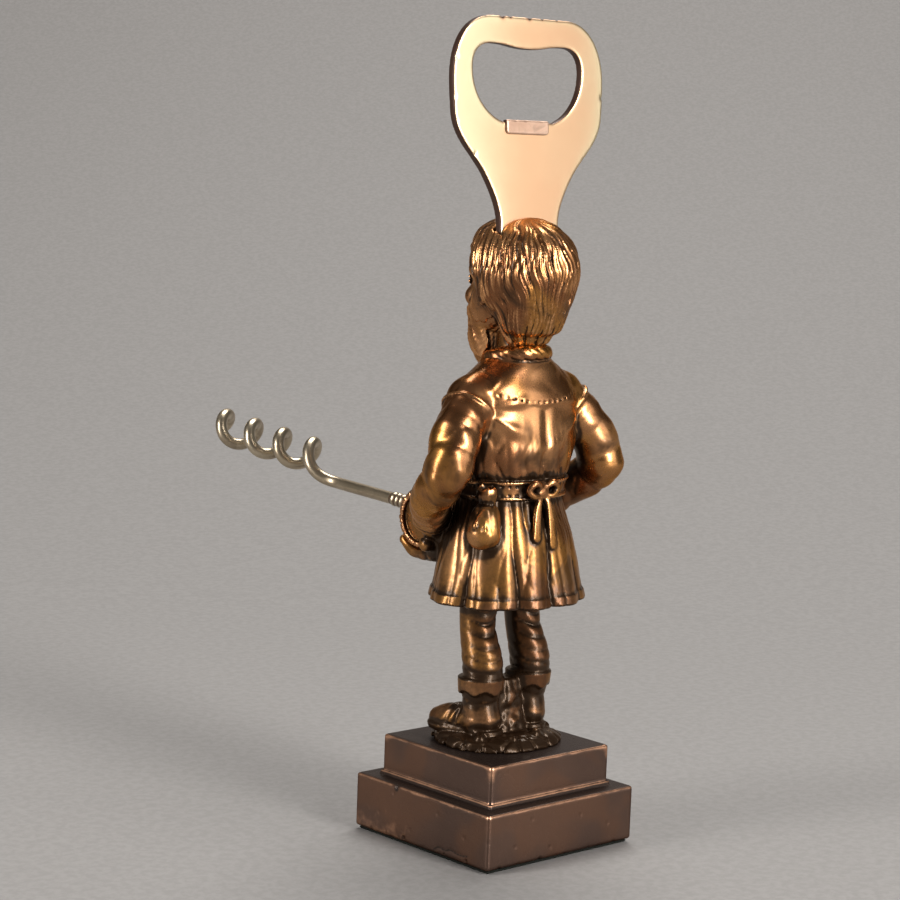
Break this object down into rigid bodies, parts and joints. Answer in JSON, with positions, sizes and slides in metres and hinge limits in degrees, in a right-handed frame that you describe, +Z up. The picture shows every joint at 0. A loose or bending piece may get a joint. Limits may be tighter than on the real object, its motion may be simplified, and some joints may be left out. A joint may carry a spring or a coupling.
{
  "type": "figural corkscrew",
  "caption": "Figural corkscrew with bottle opener: a cast cellarman on a stepped plinth holds a cask that a wire worm runs through.",
  "frame": {"origin": "middle of the felt's underside, where the corkscrew stands", "axes": "+Z up along the figure's height, -Y the way the figure faces and the worm points, +X the figure's left"},
  "size_m": [0.0592, 0.137, 0.1898],
  "materials": {
    "felt": "dense baize, glued under the plinth",
    "dark_copper": "dark brown patina over copper plate, worn bright on the edges",
    "zinc_steel": "plain zinc plate",
    "antique_copper": "glossy antique copper plate, polished on the high places and dark in the hollows",
    "cask_copper": "antique copper plate, a little darker than the figure",
    "nickel_wire": "warm grey nickel plate, slightly tarnished",
    "bright_copper": "satin copper plate over steel sheet, brown on its cut edges"
  },
  "bodies": {
    "root": {"base_felt": "felt", "plinth": "dark_copper", "fixing_washer": "zinc_steel", "fixing_screw": "zinc_steel", "figure": "antique_copper", "cask": "cask_copper", "worm": "nickel_wire", "opener_plate": "bright_copper"}
  },
  "joints": []
}
